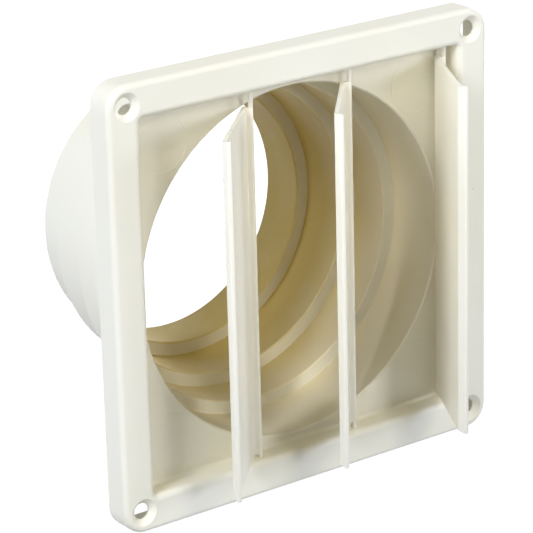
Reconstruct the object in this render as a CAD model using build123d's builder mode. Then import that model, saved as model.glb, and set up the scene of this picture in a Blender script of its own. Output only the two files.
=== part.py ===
"""Square wall vent grille with three back-draught flaps and a stepped round spigot.

One moulded body carries everything: a hollow rim with a sunk front, and a spigot that steps
down through four duct sizes. Three lipped flaps hang in the sunk front on their own pins.
Units are millimetres and degrees. X runs across the face, Z along the flap pins, and the
front faces -Y. The origin lies on the spigot's axis, in the plane of the wall.
"""

import os
from math import cos, radians, sin, tan

from build123d import *

# Rim of the body
plate_width = 150.0
plate_corner_radius = 8.0
plate_edge_round = 1.8
rim_wall = 2.4

# Sunk front, with the floor that lies on the wall
border_width = 11.8
recess_depth = 8.0
recess_corner_radius = 1.5
recess_edge_round = 2.0
floor_round = 1.2
floor_thickness = 1.6

# Screw holes in the corners of the rim
screw_inset = 7.2
screw_hole_diameter = 5.5
countersink_diameter = 9.4
countersink_angle = 90.0

# Spigot: the floor left beside its mouth, then how much narrower and how long each step is
mouth_margin = 3.2
spigot_wall = 2.0
spigot_drops = (0.0, 9.0, 18.5, 28.0)
spigot_lengths = (23.8, 16.7, 20.9, 15.5)
shoulder_chamfer = 0.8
ledge_chamfer = 0.5
mouth_chamfer = 0.5

# Flaps, each with a bead along its pivot edge that runs on as a pin at both ends
pivot_depth = 4.0
pivot_side_gap = 3.6
lip_side_gap = 4.9
lip_gap = 1.4
flap_end_gap = 3.4
flap_thickness = 1.5
lip_length = 3.5
lip_angle = 36.0
lip_flare = 0.5
tip_round = 0.4
bead_diameter = 1.6
plate_setback = 1.35
pin_length = 8.0
pin_clearance = 0.1
pin_chamfer = 0.3

# How far each flap stands open, and how far it has slid down in its end play
flap_names = ("flap_left", "flap_middle", "flap_right")
flap_angles = (44.7, 49.5, 62.7)
flap_drops = (2.5, 1.6, 0.6)

# Places that follow from the sizes above
rim_depth = recess_depth + floor_thickness
recess_width = plate_width - 2 * border_width
recess_outside = recess_width + 2 * rim_wall
channel_outside = plate_width - 2 * rim_wall
screw_spacing = plate_width - 2 * screw_inset
mouth_radius = recess_width / 2 - mouth_margin
bead_radius = bead_diameter / 2
pivot_y = pivot_depth - rim_depth
flap_count = len(flap_names)
flap_pitch = (recess_width - pivot_side_gap - lip_side_gap) / flap_count
last_pivot_x = recess_width / 2 - pivot_side_gap
pivot_xs = [last_pivot_x - flap_pitch * (flap_count - 1 - index) for index in range(flap_count)]
flap_height = recess_width - 2 * flap_end_gap
wall_plane = Plane.XZ
front_plane = Plane.XZ.offset(rim_depth)
floor_plane = Plane.XZ.offset(floor_thickness)


def spigot_section():
    """Half section of the stepped tube, as points of radius and distance from the wall."""
    outside = []
    inside = []
    step_start = -floor_thickness
    bore_start = -floor_thickness
    step_end = 0.0
    for drop, length in zip(spigot_drops, spigot_lengths):
        bore_radius = mouth_radius - drop / 2
        radius = bore_radius + spigot_wall
        step_end = step_end + length
        bore_end = step_end - spigot_wall
        outside.append((radius, step_start))
        outside.append((radius, step_end - shoulder_chamfer))
        outside.append((radius - shoulder_chamfer, step_end))
        inside.append((bore_radius + ledge_chamfer, bore_start))
        inside.append((bore_radius, bore_start + ledge_chamfer))
        inside.append((bore_radius, bore_end))
        step_start = step_end
        bore_start = bore_end
    inside[-1] = (bore_radius, step_end)
    return outside + inside[::-1]


os.makedirs("parts", exist_ok=True)

with BuildPart() as grille_body:
    # Rim, rounded all round its front
    with BuildSketch(wall_plane):
        RectangleRounded(plate_width, plate_width, plate_corner_radius)
    extrude(amount=rim_depth)
    fillet(grille_body.faces().sort_by(Axis.Y)[0].edges(), plate_edge_round)

    # Sunk front, with soft edges at its floor and its border
    with BuildSketch(front_plane):
        RectangleRounded(recess_width, recess_width, recess_corner_radius)
    extrude(amount=-recess_depth, mode=Mode.SUBTRACT)
    flat_faces = grille_body.faces().filter_by(Plane.XZ).sort_by(Axis.Y)
    fillet(flat_faces[1].edges(), floor_round)
    flat_faces = grille_body.faces().filter_by(Plane.XZ).sort_by(Axis.Y)
    fillet(flat_faces[0].inner_wires()[0].edges(), recess_edge_round)

    # Hollow back of the rim, open to the wall
    with BuildSketch(wall_plane):
        RectangleRounded(channel_outside, channel_outside, plate_corner_radius - rim_wall)
        RectangleRounded(recess_outside, recess_outside, recess_corner_radius + rim_wall, mode=Mode.SUBTRACT)
    extrude(amount=rim_depth - rim_wall, mode=Mode.SUBTRACT)

    # Stepped spigot, and its mouth through the floor
    with BuildSketch(Plane.XY):
        with BuildLine():
            Polyline(*spigot_section(), close=True)
        make_face()
    revolve(axis=Axis.Y)
    with BuildSketch(floor_plane):
        Circle(mouth_radius)
    extrude(amount=-floor_thickness, mode=Mode.SUBTRACT)
    mouth_edges = grille_body.edges().filter_by(GeomType.CIRCLE).filter_by(lambda e: e.radius == mouth_radius)
    chamfer(mouth_edges.sort_by(Axis.Y)[0], mouth_chamfer)

    # Countersunk screw holes in the corners
    with Locations(front_plane):
        with GridLocations(screw_spacing, screw_spacing, 2, 2):
            CounterSinkHole(
                radius=screw_hole_diameter / 2,
                counter_sink_radius=countersink_diameter / 2,
                depth=rim_depth,
                counter_sink_angle=countersink_angle,
            )

    # Pin holes through the top and bottom walls of the sunk front
    with BuildSketch(Plane.XY):
        with Locations(*[(pivot_x, pivot_y) for pivot_x in pivot_xs]):
            Circle(bead_radius + pin_clearance)
    extrude(amount=recess_outside / 2, both=True, mode=Mode.SUBTRACT)

grille_body.part.label = "grille_body"
export_step(grille_body.part, "parts/grille_body.step")

# Section of a flap: along it from the pivot, and outward from the pivot
plate_outer = -plate_setback
plate_inner = plate_outer - flap_thickness
lip_cos = cos(radians(lip_angle))
lip_sin = sin(radians(lip_angle))
flap_reach = flap_pitch - lip_gap - lip_length * lip_cos
tip_inner = (flap_reach + lip_length * lip_cos, plate_inner + lip_length * lip_sin)
tip_outer = (tip_inner[0] - flap_thickness * lip_sin, tip_inner[1] + flap_thickness * lip_cos)
outer_bend = flap_reach - flap_thickness * tan(radians(lip_angle / 2))
half_height = flap_height / 2
flared_height = half_height + lip_flare

for flap_name, pivot_x, flap_angle, flap_drop in zip(flap_names, pivot_xs, flap_angles, flap_drops):
    along = (-cos(radians(flap_angle)), -sin(radians(flap_angle)), 0)
    outward = (sin(radians(flap_angle)), -cos(radians(flap_angle)), 0)
    middle = (pivot_x, pivot_y, -flap_drop)
    section_plane = Plane(origin=middle, x_dir=along, z_dir=(0, 0, 1))
    face_plane = Plane(origin=middle, x_dir=along, z_dir=outward)

    with BuildPart() as flap:
        # Plate and lip, with the bead along the pivot edge
        with BuildSketch(section_plane) as flap_section:
            with BuildLine():
                Polyline(
                    (-bead_radius, plate_inner),
                    (flap_reach, plate_inner),
                    tip_inner,
                    tip_outer,
                    (outer_bend, plate_outer),
                    (-bead_radius, plate_outer),
                    close=True,
                )
            make_face()
            fillet(flap_section.vertices().sort_by(Axis.X)[-2:], tip_round)
            with Locations((0, plate_outer / 2)):
                Rectangle(bead_diameter, plate_setback)
            Circle(bead_radius)
        extrude(amount=flared_height, both=True)

        # Ends cut square, flaring a little along the lip
        with BuildSketch(face_plane):
            with BuildLine():
                Polyline(
                    (-bead_diameter, half_height),
                    (flap_reach, half_height),
                    (tip_inner[0], flared_height),
                    (tip_inner[0], -flared_height),
                    (flap_reach, -half_height),
                    (-bead_diameter, -half_height),
                    close=True,
                )
            make_face()
        extrude(amount=flap_reach, both=True, mode=Mode.INTERSECT)

        # Pins at both ends of the bead
        for end_height, length, end_face in ((half_height, pin_length, -1), (-half_height, -pin_length, 0)):
            with BuildSketch(section_plane.offset(end_height)):
                Circle(bead_radius)
            extrude(amount=length)
            chamfer(flap.faces().sort_by(Axis.Z)[end_face].edges(), pin_chamfer)

    flap.part.label = flap_name
    export_step(flap.part, f"parts/{flap_name}.step")
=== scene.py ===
"""Looks of the square wall vent grille, in metres and in the frame of its solids."""

from math import cos, pi, radians

import bmesh
import bpy
from mathutils import Matrix, Vector


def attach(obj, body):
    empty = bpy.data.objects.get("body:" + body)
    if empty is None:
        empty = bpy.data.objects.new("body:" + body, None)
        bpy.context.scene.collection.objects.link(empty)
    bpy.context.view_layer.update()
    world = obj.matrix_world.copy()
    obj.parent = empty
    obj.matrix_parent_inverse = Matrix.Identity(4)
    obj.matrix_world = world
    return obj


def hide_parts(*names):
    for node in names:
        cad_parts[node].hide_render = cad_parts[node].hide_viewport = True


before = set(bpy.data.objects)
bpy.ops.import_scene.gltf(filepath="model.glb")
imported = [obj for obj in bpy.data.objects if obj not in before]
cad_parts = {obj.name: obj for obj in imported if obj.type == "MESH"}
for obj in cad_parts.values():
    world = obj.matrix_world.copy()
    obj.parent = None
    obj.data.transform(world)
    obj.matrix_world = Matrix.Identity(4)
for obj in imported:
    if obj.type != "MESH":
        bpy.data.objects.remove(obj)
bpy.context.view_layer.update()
scene = bpy.context.scene

# Camera: where it stands, the point on the grille's front that it looks at, its roll and its lens
CAMERA_PLACE = Vector((-0.50972, -0.7006, 0.31667))
CAMERA_AIM = Vector((-0.01727, -0.0096, 0.00446))
CAMERA_ROLL = radians(-1.518)
CAMERA_LENS = 189.99
SENSOR_WIDTH = 36.0
CLIP_START = 0.01
CLIP_END = 40.0

# Soft square lamps round the grille: name, place, watts and colour
LAMP_SIZE = 0.4
DAYLIGHT = (0.78, 0.84, 1.0)
NEUTRAL = (0.86, 0.9, 1.0)
WARM = (1.0, 0.94, 0.8)
LAMPS = (
    ("left_lamp", (-1.155, -0.42, 0.86), 13.6, NEUTRAL),
    ("left_low_lamp", (-1.379, -0.502, 0.312), 5.0, DAYLIGHT),
    ("back_left_lamp", (-1.114, 0.519, 0.86), 4.8, NEUTRAL),
    ("side_lamp", (-0.869, -0.869, 0.86), 1.9, WARM),
    ("front_low_lamp", (0.255, -1.445, 0.312), 5.8, DAYLIGHT),
    ("front_high_lamp", (0.213, -1.21, 0.86), 3.7, WARM),
    ("top_right_lamp", (0.375, -0.65, 1.299), 4.1, WARM),
    ("right_low_lamp", (1.124, -0.943, 0.312), 5.8, DAYLIGHT),
    ("back_right_lamp", (1.295, 0.689, 0.312), 13.0, NEUTRAL),
)

# Even light from all round, and the white that the background shows
AMBIENT = 0.04
WHITE = (1, 1, 1, 1)

# Studio floor, well below the grille because that hangs on a wall in use.
# Its glow fades towards the middle, so that the grille's shadow shows there.
FLOOR_HEIGHT = -0.35
FLOOR_SIZE = 12.0
FLOOR_TONE = (0.4, 0.4, 0.4, 1)
GLOW_NEAR = 0.2
GLOW_FAR = 1.6
GLOW_LEAST = 0.52
GLOW_MOST = 0.98

# Flaps, as their solids: a plate with a lip, hung from a bead that runs on as a pin at both ends
FLAP_PITCH = 0.0393
FLAP_HEIGHT = 0.1196
FLAP_THICKNESS = 0.0015
FLAP_SETBACK = 0.00135
LIP_GAP = 0.0014
LIP_LENGTH = 0.0035
LIP_ANGLE = radians(36.0)
LIP_FLARE = 0.0005
BEAD_RADIUS = 0.0008
PIN_LENGTH = 0.008
PIN_CHAMFER = 0.0003
PIVOT_Y = -0.0056
LAST_PIVOT_X = 0.0596
FLAP_REACH = FLAP_PITCH - LIP_GAP - LIP_LENGTH * cos(LIP_ANGLE)
# Name of the flap, how far it stands open and how far it has slid down its pins
FLAPS = (
    ("flap_left", radians(44.7), 0.0025),
    ("flap_middle", radians(49.5), 0.0016),
    ("flap_right", radians(62.7), 0.0006),
)

# Rounds of the flap's section, and how fine its curves are
CORNER_ROUND = 0.0003
BEND_ROUND = 0.0008
TIP_ROUND = 0.0004
BEAD_ROUND_SHARE = 0.98
ROUND_STEPS = 5
PIN_SIDES = 24
FLAP_EDGE_SOFTNESS = 0.00018

# Round witness marks that the mould left on the sunk floor, one in each corner
MARK_PLACE = 0.0505
MARK_RADIUS = 0.0096
MARK_WIDTH = 0.00036
MARK_HEIGHT = 0.00006
MARK_SIDES = 96
MARK_SECTION_SIDES = 10
FLOOR_FACE = -0.0016

# Finish of every grown mesh
MERGE_DISTANCE = 1e-7
SOFT_EDGE_STEPS = 2
SOFT_EDGE_ANGLE = radians(50)
SHARP_ANGLE = radians(40)

# Tones of the plastic, each with the one it drifts to, and the share of cells with a speck
BODY_TONES = ((0.86, 0.838, 0.725, 1), (0.845, 0.82, 0.69, 1))
FLAP_TONES = ((0.90, 0.875, 0.765, 1), (0.89, 0.86, 0.735, 1))
BODY_SPECKS = 0.05
FLAP_SPECKS = 0.03

# Moulded skin: how the tone drifts, how the gloss is drawn out, and its grain and specks
DRIFT_SCALE = 22.0
DRIFT_SPAN = (0.35, 0.65)
SPECULAR_LEVEL = 0.25
GLOSS_LOW = 0.33
GLOSS_HIGH = 0.39
FLOW_SCALE = 120.0
FLOW_STRETCH = (1.0, 1.0, 0.15)
FLOW_SPAN = (0.3, 0.7)
GRAIN_SCALE = 1500.0
GRAIN_SHARE = 0.25
WAVE_SCALE = 130.0
BUMP_STRENGTH = 0.25
BUMP_HEIGHT = 0.0001
SPECK_CELLS = 160.0
SPECK_LEAST = 0.03
SPECK_SPREAD = 0.05
SPECK_STRENGTH = 0.7
SPECK_TONE = (0.33, 0.25, 0.13, 1)

# Film of dust and painted shade: where it thickens along the duct, painted darker deeper in, and how thick
# it is elsewhere
DUST_AND_SHADE_TONE = (0.68, 0.535, 0.20, 1)
DUST_ROUGHNESS = 0.5
DUST_AND_SHADE_START = -0.008
DUST_AND_SHADE_END = 0.052
LEDGE_DUST_AND_SHADE = 0.4
RECESS_DUST_AND_SHADE = 0.14
BODY_BACK_DUST_AND_SHADE = 0.0
FLAP_BACK_DUST_AND_SHADE = 0.14
RECESS_HALF = 0.0645
RECESS_SPAN = (-0.0095, -0.003)
RECESS_END = -0.0005
CLOUD_SCALE = 60.0
CLOUD_LEAST = 0.75
CLOUD_SPREAD = 0.5

# How a surface has to face to count as a wall of the duct, a ledge or the back of a flap
WALL_SPAN = (0.1, -0.6)
LEDGE_SPAN = (-0.3, -0.9)
BACK_SPAN = (0.2, 0.4)


class Tree:
    """Small helper that adds nodes to a tree and wires them, socket by socket."""

    def __init__(self, tree):
        self.tree = tree

    def feed(self, socket, value):
        """Wire an output into a socket, or set a plain value on it."""
        if isinstance(value, bpy.types.NodeSocket):
            self.tree.links.new(value, socket)
        else:
            socket.default_value = value

    def add(self, kind, values=(), **settings):
        """New node: its settings first, then its inputs by name or number."""
        made = self.tree.nodes.new(kind)
        for key, value in settings.items():
            setattr(made, key, value)
        for key, value in dict(values).items():
            self.feed(made.inputs[key], value)
        return made

    def calc(self, operation, first, second=0.0):
        """Result of one step of arithmetic."""
        return self.add("ShaderNodeMath", {0: first, 1: second}, operation=operation).outputs[0]

    def span(self, value, ends, least=0.0, most=1.0):
        """Value that runs from the least to the most while another runs between two ends."""
        values = {"Value": value, "From Min": ends[0], "From Max": ends[1], "To Min": least, "To Max": most}
        return self.add("ShaderNodeMapRange", values).outputs[0]

    def noise(self, vector, scale, detail):
        """Soft noise."""
        values = {"Vector": vector, "Scale": scale, "Detail": detail}
        return self.add("ShaderNodeTexNoise", values).outputs["Fac"]

    def blend(self, share, first, second):
        """Colour between two others."""
        return self.add("ShaderNodeMix", {0: share, 6: first, 7: second}, data_type="RGBA").outputs[2]

    def vector(self, operation, first, second=(0.0, 0.0, 0.0)):
        """Node that works on two vectors."""
        return self.add("ShaderNodeVectorMath", {0: first, 1: second}, operation=operation)

    def point(self, x=0.0, y=0.0, z=0.0):
        """Point from its three sizes."""
        return self.add("ShaderNodeCombineXYZ", {"X": x, "Y": y, "Z": z}).outputs[0]

    def pick(self, data_type, items):
        """The item whose number is the point's own number."""
        switch = self.add("GeometryNodeIndexSwitch", data_type=data_type)
        while len(switch.index_switch_items) < len(items):
            switch.index_switch_items.new()
        self.feed(switch.inputs["Index"], self.add("GeometryNodeInputIndex").outputs[0])
        for number, item in enumerate(items):
            self.feed(switch.inputs[number + 1], item)
        return switch.outputs[0]

    def line(self, points):
        """Line through the points, in their order."""
        values = {"Count": len(points), "Position": self.pick("VECTOR", points)}
        dots = self.add("GeometryNodePoints", values)
        return self.add("GeometryNodePointsToCurves", {"Points": dots.outputs[0]}).outputs[0]

    def circle(self, sides, radius):
        """Round line about the origin."""
        values = {"Resolution": sides, "Radius": radius}
        return self.add("GeometryNodeCurvePrimitiveCircle", values).outputs[0]

    def turn(self, angles):
        """Rotation from its angles about the three axes."""
        return self.add("FunctionNodeEulerToRotation", {0: angles}).outputs[0]

    def dress(self, geometry, plastic):
        """Give the grown geometry its material and hand it out."""
        real = self.add("GeometryNodeRealizeInstances", {"Geometry": geometry}).outputs[0]
        dressed = self.add("GeometryNodeSetMaterial", {"Geometry": real, "Material": plastic})
        self.add("NodeGroupOutput", {0: dressed.outputs[0]})


def add_camera():
    """Stand the camera at the photograph's viewing angle."""
    camera = bpy.data.cameras.new("camera")
    camera.sensor_width = SENSOR_WIDTH
    camera.sensor_fit = "HORIZONTAL"
    camera.lens = CAMERA_LENS
    camera.clip_start = CLIP_START
    camera.clip_end = CLIP_END
    stand = bpy.data.objects.new("camera", camera)
    turn = (CAMERA_AIM - CAMERA_PLACE).to_track_quat("-Z", "Y").to_matrix().to_4x4()
    stand.matrix_world = Matrix.Translation(CAMERA_PLACE) @ turn @ Matrix.Rotation(CAMERA_ROLL, 4, "Z")
    scene.collection.objects.link(stand)
    scene.camera = stand


def add_lamp(name, place, watts, colour):
    """Soft square lamp at a place, turned to the grille."""
    lamp = bpy.data.lights.new(name, "AREA")
    lamp.shape = "SQUARE"
    lamp.size = LAMP_SIZE
    lamp.energy = watts
    lamp.color = colour
    stand = bpy.data.objects.new(name, lamp)
    turn = (-Vector(place)).to_track_quat("-Z", "Y").to_matrix().to_4x4()
    stand.matrix_world = Matrix.Translation(Vector(place)) @ turn
    scene.collection.objects.link(stand)


def seen_share(tree):
    """One where a ray comes from the camera or off a gloss or through a clear piece, and else nought."""
    path = tree.add("ShaderNodeLightPath").outputs
    mirrored = tree.calc("MAXIMUM", path["Is Glossy Ray"], path["Is Transmission Ray"])
    return tree.calc("MAXIMUM", path["Is Camera Ray"], mirrored)


def add_world():
    """White where it is seen or mirrored, and a weak even light on the grille."""
    world = bpy.data.worlds.new("studio")
    scene.world = world
    world.use_nodes = True
    world.node_tree.nodes.clear()
    tree = Tree(world.node_tree)
    soft = tree.add("ShaderNodeBackground", {"Color": WHITE, "Strength": AMBIENT})
    white = tree.add("ShaderNodeBackground", {"Color": WHITE, "Strength": 1.0})
    both = tree.add("ShaderNodeMixShader", {0: seen_share(tree), 1: soft.outputs[0], 2: white.outputs[0]})
    tree.add("ShaderNodeOutputWorld", {"Surface": both.outputs[0]})


def floor_material():
    """Pale matt floor that also glows white where it is seen or mirrored."""
    material = bpy.data.materials.new("pale_floor")
    material.use_nodes = True
    material.node_tree.nodes.clear()
    tree = Tree(material.node_tree)
    place = tree.add("ShaderNodeTexCoord").outputs["Object"]
    away = tree.vector("LENGTH", place).outputs["Value"]
    glow = tree.span(away, (GLOW_NEAR, GLOW_FAR), GLOW_LEAST, GLOW_MOST)
    matt = tree.add("ShaderNodeBsdfDiffuse", {"Color": FLOOR_TONE})
    strength = tree.calc("MULTIPLY", seen_share(tree), glow)
    white = tree.add("ShaderNodeEmission", {"Color": WHITE, "Strength": strength})
    both = tree.add("ShaderNodeAddShader", {0: matt.outputs[0], 1: white.outputs[0]})
    tree.add("ShaderNodeOutputMaterial", {"Surface": both.outputs[0]})
    return material


def add_floor():
    """Pale studio floor that still takes the grille's shadow."""
    half = FLOOR_SIZE / 2
    sides = ((-half, -half), (half, -half), (half, half), (-half, half))
    corners = [(x, y, FLOOR_HEIGHT) for x, y in sides]
    mesh = bpy.data.meshes.new("studio_floor")
    mesh.from_pydata(corners, [], [(0, 1, 2, 3)])
    mesh.materials.append(floor_material())
    floor = bpy.data.objects.new("studio_floor", mesh)
    scene.collection.objects.link(floor)


def new_tree(name, kind, inputs, outputs):
    """Empty node group with named sockets, with its helper and its input sockets by name."""
    group = bpy.data.node_groups.new(name, kind)
    for socket, socket_type in inputs:
        group.interface.new_socket(socket, in_out="INPUT", socket_type=socket_type)
    for socket, socket_type in outputs:
        group.interface.new_socket(socket, in_out="OUTPUT", socket_type=socket_type)
    helper = Tree(group)
    entry = helper.add("NodeGroupInput")
    return group, helper, entry.outputs


def flap_tree():
    """Lipped flap: one section swept along the pivot, flared at the lip, with a pin at both ends."""
    sizes = ("Height", "Reach", "Thickness", "Setback", "Lip Length", "Lip Angle", "Lip Flare",
             "Bead Radius", "Pin Length", "Pin Chamfer", "Opening")
    inputs = [(name, "NodeSocketFloat") for name in sizes]
    inputs += [("Pivot", "NodeSocketVector"), ("Plastic", "NodeSocketMaterial")]
    outputs = [("Geometry", "NodeSocketGeometry")]
    group, tree, size = new_tree("lipped_flap", "GeometryNodeTree", inputs, outputs)
    calc, point = tree.calc, tree.point

    # Section across the flap: X along it from the pivot, Y outward
    bead = size["Bead Radius"]
    lip_cos = calc("COSINE", size["Lip Angle"])
    lip_sin = calc("SINE", size["Lip Angle"])
    lip_run = calc("MULTIPLY", size["Lip Length"], lip_cos)
    lip_rise = calc("MULTIPLY", size["Lip Length"], lip_sin)
    outer = calc("MULTIPLY", size["Setback"], -1.0)
    inner = calc("SUBTRACT", outer, size["Thickness"])
    behind = calc("MULTIPLY", bead, -1.0)
    tip_x = calc("ADD", size["Reach"], lip_run)
    tip_y = calc("ADD", inner, lip_rise)
    outer_tip_x = calc("SUBTRACT", tip_x, calc("MULTIPLY", size["Thickness"], lip_sin))
    outer_tip_y = calc("ADD", tip_y, calc("MULTIPLY", size["Thickness"], lip_cos))
    half_bend = calc("TANGENT", calc("MULTIPLY", size["Lip Angle"], 0.5))
    bend_x = calc("SUBTRACT", size["Reach"], calc("MULTIPLY", size["Thickness"], half_bend))
    bead_round = calc("MULTIPLY", bead, BEAD_ROUND_SHARE)
    corners = (
        (point(behind, inner), CORNER_ROUND),
        (point(size["Reach"], inner), BEND_ROUND),
        (point(tip_x, tip_y), TIP_ROUND),
        (point(outer_tip_x, outer_tip_y), TIP_ROUND),
        (point(bend_x, outer), TIP_ROUND),
        (point(bead, outer), CORNER_ROUND),
        (point(bead, bead), bead_round),
        (point(behind, bead), bead_round),
    )
    outline = tree.line([place for place, radius in corners])
    closed = tree.add("GeometryNodeSetSplineCyclic", {"Geometry": outline, "Cyclic": True})
    rounds = {"Curve": closed.outputs[0], "Count": ROUND_STEPS, "Limit Radius": True,
              "Radius": tree.pick("FLOAT", [radius for place, radius in corners])}
    section = tree.add("GeometryNodeFilletCurve", rounds, mode="POLY")

    # Sweep along the pivot, then flare the lip's ends
    half = calc("MULTIPLY", size["Height"], 0.5)
    ends = {"Start": point(z=calc("MULTIPLY", half, -1.0)), "End": point(z=half)}
    pivot_line = tree.add("GeometryNodeCurvePrimitiveLine", ends)
    sweep = {"Curve": pivot_line.outputs[0], "Profile Curve": section.outputs[0], "Fill Caps": True}
    plate = tree.add("GeometryNodeCurveToMesh", sweep)
    place = tree.add("ShaderNodeSeparateXYZ", {0: tree.add("GeometryNodeInputPosition").outputs[0]})
    along_lip = calc("DIVIDE", calc("SUBTRACT", place.outputs["X"], size["Reach"]), lip_run)
    share = tree.add("ShaderNodeClamp", {"Value": along_lip}).outputs[0]
    end = calc("SIGN", place.outputs["Z"])
    flare = calc("MULTIPLY", calc("MULTIPLY", share, size["Lip Flare"]), end)
    moved = {"Geometry": plate.outputs[0], "Offset": point(z=flare)}
    flared = tree.add("GeometryNodeSetPosition", moved)

    # Pin with a chamfered end, and the same pin turned over for the other end
    pin_end = calc("ADD", half, size["Pin Length"])
    chamfer_start = calc("SUBTRACT", pin_end, size["Pin Chamfer"])
    pin_line = tree.line([point(z=height) for height in (half, chamfer_start, pin_end)])
    narrow = calc("DIVIDE", calc("SUBTRACT", bead, size["Pin Chamfer"]), bead)
    sweep = {"Curve": pin_line, "Profile Curve": tree.circle(PIN_SIDES, bead), "Fill Caps": True,
             "Scale": tree.pick("FLOAT", (1.0, 1.0, narrow))}
    pin = tree.add("GeometryNodeCurveToMesh", sweep)
    turned = {"Geometry": pin.outputs[0], "Rotation": tree.turn((pi, 0.0, 0.0))}
    lower_pin = tree.add("GeometryNodeTransform", turned)

    # Put the flap on its pivot, turned to where it stands open
    joined = tree.add("GeometryNodeJoinGeometry")
    for part in (flared, pin, lower_pin):
        tree.feed(joined.inputs[0], part.outputs[0])
    opening = tree.turn(point(z=calc("ADD", size["Opening"], pi)))
    moved = {"Geometry": joined.outputs[0], "Translation": size["Pivot"], "Rotation": opening}
    placed = tree.add("GeometryNodeTransform", moved)
    tree.dress(placed.outputs[0], size["Plastic"])
    return group


def mark_tree():
    """Witness marks: one low ring for each corner of the sunk floor."""
    inputs = [(name, "NodeSocketFloat") for name in ("Corner", "Radius", "Width", "Height", "Floor")]
    inputs += [("Plastic", "NodeSocketMaterial")]
    outputs = [("Geometry", "NodeSocketGeometry")]
    group, tree, size = new_tree("witness_marks", "GeometryNodeTree", inputs, outputs)
    calc, point = tree.calc, tree.point

    # Ring with a low oval section, in each corner
    spread = calc("MULTIPLY", size["Corner"], 2.0)
    grid = {"Size X": spread, "Size Y": spread, "Vertices X": 2, "Vertices Y": 2}
    corners = tree.add("GeometryNodeMeshGrid", grid)
    oval = point(calc("MULTIPLY", size["Width"], 0.5), size["Height"], 1.0)
    flattened = {"Geometry": tree.circle(MARK_SECTION_SIDES, 1.0), "Scale": oval}
    section = tree.add("GeometryNodeTransform", flattened)
    sweep = {"Curve": tree.circle(MARK_SIDES, size["Radius"]), "Profile Curve": section.outputs[0]}
    ring = tree.add("GeometryNodeCurveToMesh", sweep)
    copies = {"Points": corners.outputs[0], "Instance": ring.outputs[0]}
    rings = tree.add("GeometryNodeInstanceOnPoints", copies)

    # Stand the rings upright on the sunk floor
    moved = {"Geometry": rings.outputs[0], "Rotation": tree.turn((pi / 2, 0.0, 0.0)),
             "Translation": point(y=size["Floor"])}
    placed = tree.add("GeometryNodeTransform", moved)
    tree.dress(placed.outputs[0], size["Plastic"])
    return group


def grow(name, group, values, softness=0.0):
    """Piece grown by a tree with its values, kept as a plain mesh with smooth faces pointing outward."""
    piece = bpy.data.objects.new(name, bpy.data.meshes.new(name))
    scene.collection.objects.link(piece)
    grower = piece.modifiers.new("grower", "NODES")
    grower.node_group = group
    for socket in group.interface.items_tree:
        if socket.in_out == "INPUT":
            grower[socket.identifier] = values[socket.name]
    if softness:
        edges = piece.modifiers.new("soft_edges", "BEVEL")
        edges.width = softness
        edges.segments = SOFT_EDGE_STEPS
        edges.limit_method = "ANGLE"
        edges.angle_limit = SOFT_EDGE_ANGLE
    graph = bpy.context.evaluated_depsgraph_get()
    mesh = bpy.data.meshes.new_from_object(piece.evaluated_get(graph), depsgraph=graph)
    piece.modifiers.clear()
    shell = bmesh.new()
    shell.from_mesh(mesh)
    bmesh.ops.remove_doubles(shell, verts=shell.verts, dist=MERGE_DISTANCE)
    bmesh.ops.recalc_face_normals(shell, faces=shell.faces)
    shell.to_mesh(mesh)
    shell.free()
    mesh.shade_smooth()
    mesh.set_sharp_from_angle(angle=SHARP_ANGLE)
    mesh.name = name
    piece.data = mesh
    return piece


def skin_group():
    """Moulded skin: soft colour drift, fine grain, drawn-out gloss and a few specks in the plastic."""
    inputs = (
        ("Vector", "NodeSocketVector"),
        ("Tone", "NodeSocketColor"),
        ("Drift Tone", "NodeSocketColor"),
        ("Drift Scale", "NodeSocketFloat"),
        ("Grain Scale", "NodeSocketFloat"),
        ("Gloss Low", "NodeSocketFloat"),
        ("Gloss High", "NodeSocketFloat"),
        ("Speck Share", "NodeSocketFloat"),
    )
    outputs = (
        ("Color", "NodeSocketColor"),
        ("Roughness", "NodeSocketFloat"),
        ("Height", "NodeSocketFloat"),
    )
    group, tree, given = new_tree("moulded_skin", "ShaderNodeTree", inputs, outputs)
    calc = tree.calc
    place = given["Vector"]

    # Slow drift between two close tones
    drift = tree.span(tree.noise(place, given["Drift Scale"], 3.0), DRIFT_SPAN)
    toned = tree.blend(drift, given["Tone"], given["Drift Tone"])

    # Specks: a share of small cells holds one dark dot each
    cells = tree.add("ShaderNodeTexVoronoi", {"Vector": place, "Scale": SPECK_CELLS})
    luck = tree.add("ShaderNodeSeparateColor", {0: cells.outputs["Color"]})
    chosen = calc("LESS_THAN", luck.outputs["Red"], given["Speck Share"])
    reach = calc("ADD", calc("MULTIPLY", luck.outputs["Green"], SPECK_SPREAD), SPECK_LEAST)
    near = calc("LESS_THAN", cells.outputs["Distance"], reach)
    speck = calc("MULTIPLY", calc("MULTIPLY", chosen, near), SPECK_STRENGTH)
    specked = tree.blend(speck, toned, SPECK_TONE)

    # Gloss drawn out along the flow of the plastic
    drawn = tree.add("ShaderNodeMapping", {"Vector": place, "Scale": FLOW_STRETCH}).outputs[0]
    flow = tree.noise(drawn, FLOW_SCALE, 2.0)
    gloss = tree.span(flow, FLOW_SPAN, given["Gloss Low"], given["Gloss High"])

    # Fine grain over a broader unevenness
    grain = tree.noise(place, given["Grain Scale"], 2.0)
    wave = tree.noise(place, WAVE_SCALE, 1.0)
    height = calc("ADD", calc("MULTIPLY", grain, GRAIN_SHARE), wave)
    tree.add("NodeGroupOutput", {0: specked, 1: gloss, 2: height})
    return group


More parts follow.
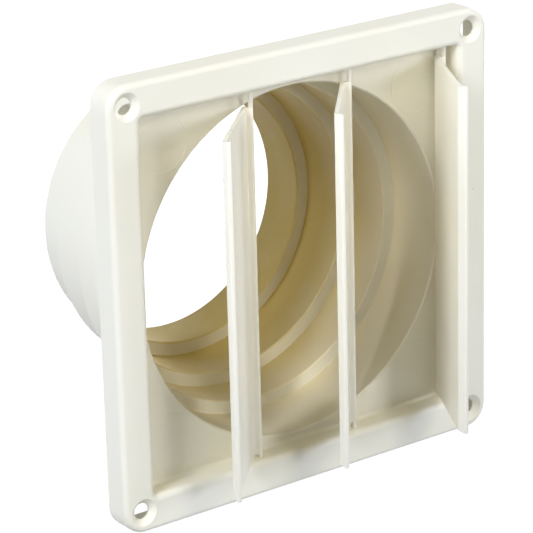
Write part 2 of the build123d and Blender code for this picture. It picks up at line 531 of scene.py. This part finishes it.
def dust_and_shade_group():
    """Film of dust and painted shade: thickest deep in the duct, where shade falls, thin in the sunk front
    and on the backs of the flaps.
    """
    inputs = (
        ("Vector", "NodeSocketVector"),
        ("Normal", "NodeSocketVector"),
        ("Start", "NodeSocketFloat"),
        ("End", "NodeSocketFloat"),
        ("Ledge Share", "NodeSocketFloat"),
        ("Recess Share", "NodeSocketFloat"),
        ("Recess Half", "NodeSocketFloat"),
        ("Back Share", "NodeSocketFloat"),
    )
    group, tree, given = new_tree("duct_dust_and_shade", "ShaderNodeTree", inputs, [("Mask", "NodeSocketFloat")])
    calc = tree.calc
    place = tree.add("ShaderNodeSeparateXYZ", {0: given["Vector"]}).outputs
    cloud = tree.noise(given["Vector"], CLOUD_SCALE, 4.0)
    uneven = calc("ADD", calc("MULTIPLY", cloud, CLOUD_SPREAD), CLOUD_LEAST)

    # Walls that face the duct's axis, and ledges that face the front
    ray = tree.vector("MULTIPLY", given["Vector"], (1.0, 0.0, 1.0)).outputs[0]
    outward = tree.vector("NORMALIZE", ray).outputs[0]
    facing = tree.vector("DOT_PRODUCT", given["Normal"], outward).outputs["Value"]
    walls = tree.span(facing, WALL_SPAN)
    front = tree.add("ShaderNodeSeparateXYZ", {0: given["Normal"]}).outputs["Y"]
    ledges = tree.span(front, LEDGE_SPAN, most=given["Ledge Share"])
    # Painted shade with the dust: the film grows from the mouth to deep in the duct
    depth = tree.span(place["Y"], (given["Start"], given["End"]))
    duct = calc("MULTIPLY", calc("MAXIMUM", walls, ledges), depth)

    # Sunk front, dust with painted shade: all that lies between its walls, deeper than the border
    across = calc("MAXIMUM", calc("ABSOLUTE", place["X"]), calc("ABSOLUTE", place["Z"]))
    between = calc("LESS_THAN", across, given["Recess Half"])
    sunk = tree.span(place["Y"], RECESS_SPAN, most=given["Recess Share"])
    before = calc("LESS_THAN", place["Y"], RECESS_END)
    recess = calc("MULTIPLY", calc("MULTIPLY", between, before), sunk)

    # Backs of the flaps, which the air from the duct blows against, with painted shade on these shaded
    # faces
    backs = tree.span(front, BACK_SPAN, most=given["Back Share"])
    thickest = calc("MAXIMUM", calc("MAXIMUM", duct, recess), backs)
    tree.add("NodeGroupOutput", {0: calc("MULTIPLY", thickest, uneven)})
    return group


def plastic(name, skin, dust_and_shade, tones, speck_share, back_share):
    """White moulded plastic from the skin group, under the film of dust and painted shade."""
    material = bpy.data.materials.new(name)
    material.use_nodes = True
    tree = Tree(material.node_tree)
    place = tree.add("ShaderNodeTexCoord").outputs["Object"]
    surface = tree.add("ShaderNodeGroup", {
        "Vector": place, "Tone": tones[0], "Drift Tone": tones[1], "Drift Scale": DRIFT_SCALE,
        "Grain Scale": GRAIN_SCALE, "Gloss Low": GLOSS_LOW, "Gloss High": GLOSS_HIGH,
        "Speck Share": speck_share,
    }, node_tree=skin).outputs
    film = tree.add("ShaderNodeGroup", {
        "Vector": place, "Normal": tree.add("ShaderNodeNewGeometry").outputs["Normal"],
        "Start": DUST_AND_SHADE_START, "End": DUST_AND_SHADE_END, "Ledge Share": LEDGE_DUST_AND_SHADE, "Recess Share": RECESS_DUST_AND_SHADE,
        "Recess Half": RECESS_HALF, "Back Share": back_share,
    }, node_tree=dust_and_shade).outputs["Mask"]
    relief = {"Height": surface["Height"], "Strength": BUMP_STRENGTH, "Distance": BUMP_HEIGHT}
    bump = tree.add("ShaderNodeBump", relief)
    shader = material.node_tree.nodes["Principled BSDF"].inputs
    shader["Specular IOR Level"].default_value = SPECULAR_LEVEL
    # Base colour goes to the dust and painted-shade tone where the film lies
    tree.feed(shader["Base Color"], tree.blend(film, surface["Color"], DUST_AND_SHADE_TONE))
    tree.feed(shader["Roughness"], tree.span(film, (0.0, 1.0), surface["Roughness"], DUST_ROUGHNESS))
    tree.feed(shader["Normal"], bump.outputs[0])
    return material


scene.view_settings.view_transform = "Standard"
add_camera()
add_world()
add_floor()
for lamp in LAMPS:
    add_lamp(*lamp)

moulded_skin = skin_group()
duct_dust_and_shade = dust_and_shade_group()
body_plastic = plastic("body_plastic", moulded_skin, duct_dust_and_shade, BODY_TONES, BODY_SPECKS, BODY_BACK_DUST_AND_SHADE)
flap_plastic = plastic("flap_plastic", moulded_skin, duct_dust_and_shade, FLAP_TONES, FLAP_SPECKS, FLAP_BACK_DUST_AND_SHADE)

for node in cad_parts.values():
    node.data.materials.clear()
    node.data.materials.append(body_plastic)

# Flaps, evenly spaced from the last pivot back
flap = flap_tree()
for number, (name, opening, slide) in enumerate(FLAPS):
    pivot_x = LAST_PIVOT_X - FLAP_PITCH * (len(FLAPS) - 1 - number)
    piece = grow(name + "_moulding", flap, {
        "Height": FLAP_HEIGHT, "Reach": FLAP_REACH, "Thickness": FLAP_THICKNESS, "Setback": FLAP_SETBACK,
        "Lip Length": LIP_LENGTH, "Lip Angle": LIP_ANGLE, "Lip Flare": LIP_FLARE,
        "Bead Radius": BEAD_RADIUS, "Pin Length": PIN_LENGTH, "Pin Chamfer": PIN_CHAMFER,
        "Opening": opening, "Pivot": (pivot_x, PIVOT_Y, -slide), "Plastic": flap_plastic,
    }, FLAP_EDGE_SOFTNESS)
    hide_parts(name)
    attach(piece, name)

marks = grow("witness_marks", mark_tree(), {
    "Corner": MARK_PLACE, "Radius": MARK_RADIUS, "Width": MARK_WIDTH, "Height": MARK_HEIGHT,
    "Floor": FLOOR_FACE, "Plastic": body_plastic,
})
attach(marks, "grille_body")
